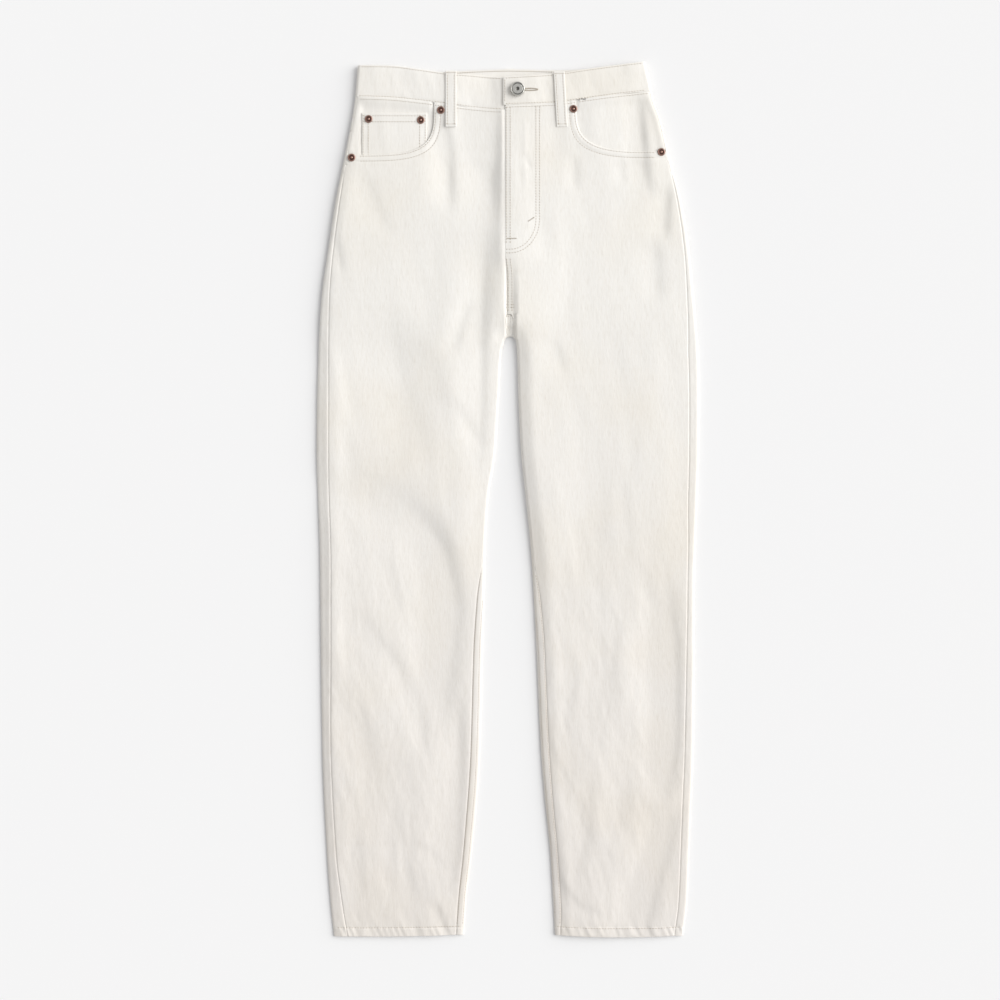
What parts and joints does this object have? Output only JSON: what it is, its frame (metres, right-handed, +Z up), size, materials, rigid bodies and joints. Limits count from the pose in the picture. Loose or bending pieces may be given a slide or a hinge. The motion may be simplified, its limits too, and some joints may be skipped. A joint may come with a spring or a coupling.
{
  "type": "straight jeans laid flat",
  "caption": "Straight-leg jeans in ecru denim, buttoned and laid flat with the front up: folded legs, curved pockets, coin pocket, fly, waistband with loops, button and rivets.",
  "frame": {"origin": "middle of the garment's outline, on the surface that it lies on", "axes": "+X towards the wearer's left, +Y from hem to waist, +Z up out of the surface, through the front"},
  "size_m": [0.4512, 1.032, 0.0145],
  "materials": {
    "denim": "ecru cotton twill, matt, slightly slubby",
    "denim_band": "ecru cotton twill, two layers, matt",
    "button_metal": "antique silver, brushed with dark recesses",
    "rivet_metal": "antique copper, dulled, bright on the high edges"
  },
  "bodies": {
    "root": {"front_right": "denim", "front_left": "denim", "back_right": "denim", "back_left": "denim", "yoke_right": "denim", "yoke_left": "denim", "pocket_facing_right": "denim", "pocket_facing_left": "denim", "back_pocket_right": "denim", "back_pocket_left": "denim", "coin_pocket": "denim", "waistband": "denim_band", "belt_loop_front_right": "denim", "belt_loop_front_left": "denim", "belt_loop_back_right": "denim", "belt_loop_back_left": "denim", "belt_loop_centre_back": "denim", "button": "button_metal", "rivet_coin_outer": "rivet_metal", "rivet_coin_inner": "rivet_metal", "rivet_mouth_right": "rivet_metal", "rivet_side_right": "rivet_metal", "rivet_mouth_left": "rivet_metal", "rivet_side_left": "rivet_metal"}
  },
  "joints": []
}
